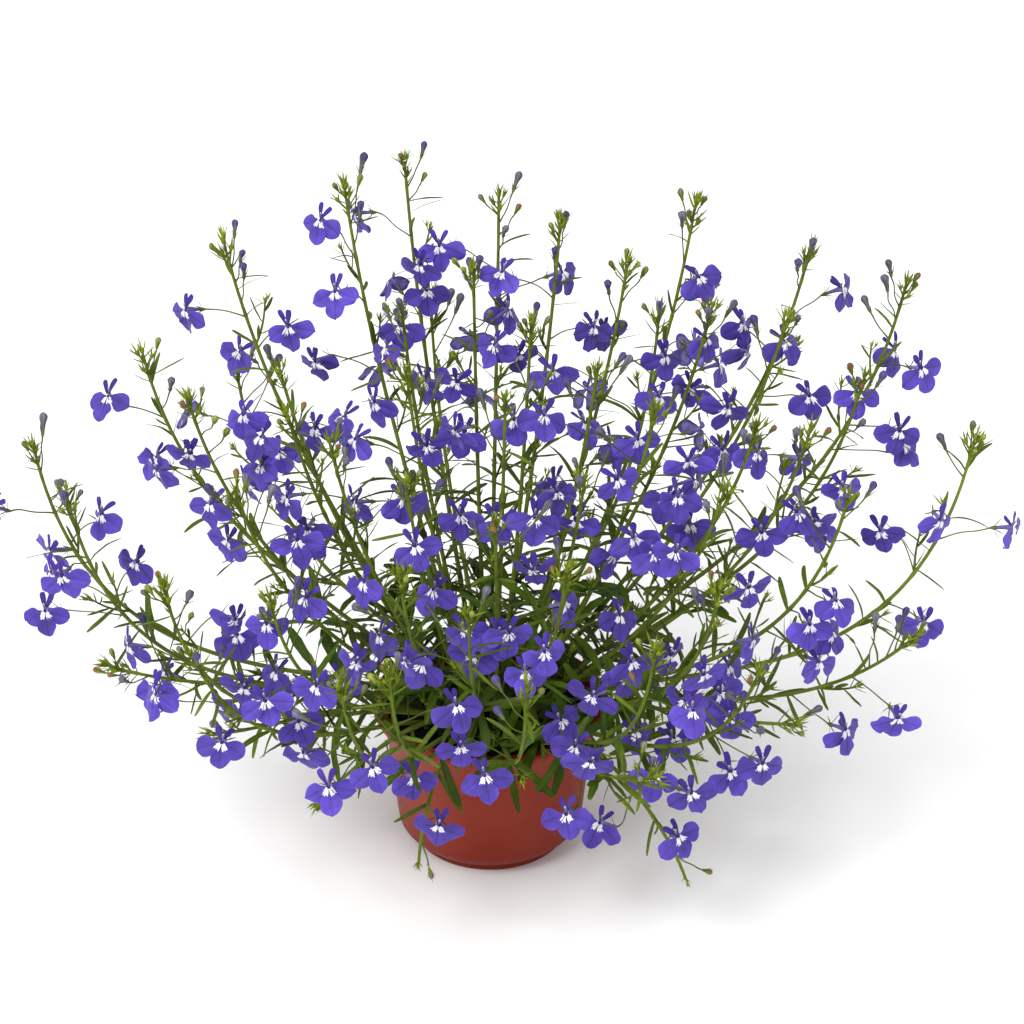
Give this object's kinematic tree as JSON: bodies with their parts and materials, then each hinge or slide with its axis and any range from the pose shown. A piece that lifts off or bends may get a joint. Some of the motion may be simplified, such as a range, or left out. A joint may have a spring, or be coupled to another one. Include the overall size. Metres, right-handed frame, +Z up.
{
  "type": "potted trailing lobelia",
  "caption": "Trailing lobelia in a round terracotta-coloured plastic nursery pot, with arching leafy stems and violet-blue five-lobed blooms.",
  "frame": {"origin": "centre of the flat middle of the pot's underside, on the surface that the pot stands on", "axes": "+Z up, out of the pot; +X towards the plant's right as seen from its show side, along its widest spread; the show side faces -Y"},
  "size_m": [0.4512, 0.3055, 0.2852],
  "materials": {
    "pot": "satin",
    "soil": "matte",
    "plant": "satin",
    "petal": "velvet"
  },
  "bodies": {
    "root": {"pot": "pot", "soil": "soil", "stem_01": "plant", "stem_02": "plant", "stem_03": "plant", "stem_04": "plant", "stem_05": "plant", "stem_06": "plant", "stem_07": "plant", "stem_08": "plant", "stem_09": "plant", "stem_10": "plant", "stem_11": "plant", "stem_12": "plant", "stem_13": "plant", "stem_14": "plant", "stem_15": "plant", "stem_16": "plant", "stem_17": "plant", "stem_18": "plant", "stem_19": "plant", "stem_20": "plant", "stem_21": "plant", "stem_22": "plant", "stem_23": "plant", "stem_24": "plant", "stem_25": "plant", "stem_26": "plant", "stem_27": "plant", "stem_28": "plant", "stem_29": "plant", "stem_30": "plant", "stem_31": "plant", "stem_32": "plant", "stem_33": "plant", "stem_34": "plant", "stem_35": "plant", "stem_36": "plant", "stem_37": "plant", "stem_38": "plant", "stem_39": "plant", "stem_40": "plant", "stem_41": "plant", "stem_42": "plant", "stem_43": "plant", "stem_44": "plant", "stem_45": "plant", "stem_46": "plant", "stem_47": "plant", "stem_48": "plant", "stem_49": "plant", "stem_50": "plant", "stem_51": "plant", "stem_52": "plant", "stem_53": "plant", "stem_54": "plant", "stem_55": "plant", "stem_56": "plant", "stem_57": "plant", "stem_58": "plant"}
  },
  "joints": []
}
